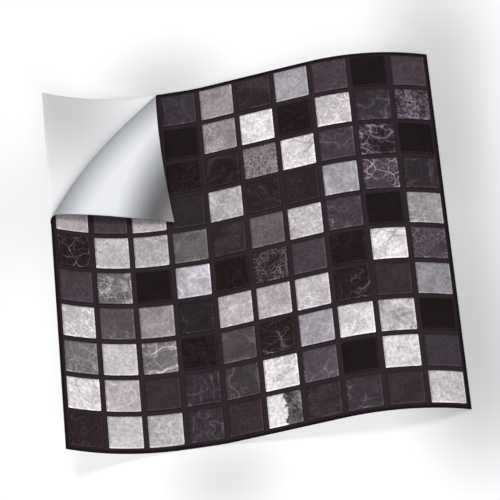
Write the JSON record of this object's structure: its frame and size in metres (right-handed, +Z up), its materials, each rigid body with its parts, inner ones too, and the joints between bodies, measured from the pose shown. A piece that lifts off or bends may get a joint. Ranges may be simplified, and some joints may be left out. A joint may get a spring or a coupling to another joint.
{
  "type": "peel and stick backsplash tile",
  "caption": "Flexible square mosaic sheet with raised squares on a self-adhesive film, lying in a gentle wave on its release liner, one corner peeled and folded over.",
  "frame": {"origin": "on the floor under the middle of the sheet's outline", "axes": "+Z up, square to the floor; +Y along the wave's straight direction, towards the far edge; +X across the wave, towards the right edge"},
  "size_m": [0.2454, 0.254, 0.0275],
  "materials": {
    "release_liner": "satin silicone coated",
    "film": "printed dark grout colour on the face, silver grey adhesive back",
    "squares_white_marble": "clear gloss gel over a white marble print",
    "squares_pale_stone": "clear gloss gel over a pale stone print",
    "squares_grey_marble": "clear gloss gel over a grey marble print",
    "squares_breccia": "clear gloss gel over a breccia print",
    "squares_charcoal_stone": "clear gloss gel over a veined charcoal print",
    "squares_plum_glass": "clear gloss gel over a plum coloured print",
    "squares_brown_marble": "clear gloss gel over a dark brown marble print",
    "squares_black_stone": "clear gloss gel over a black stone print"
  },
  "bodies": {
    "root": {"release_liner": "release_liner", "film": "film", "squares_white_marble": "squares_white_marble", "squares_pale_stone": "squares_pale_stone", "squares_grey_marble": "squares_grey_marble", "squares_breccia": "squares_breccia", "squares_charcoal_stone": "squares_charcoal_stone", "squares_plum_glass": "squares_plum_glass", "squares_brown_marble": "squares_brown_marble", "squares_black_stone": "squares_black_stone"}
  },
  "joints": []
}
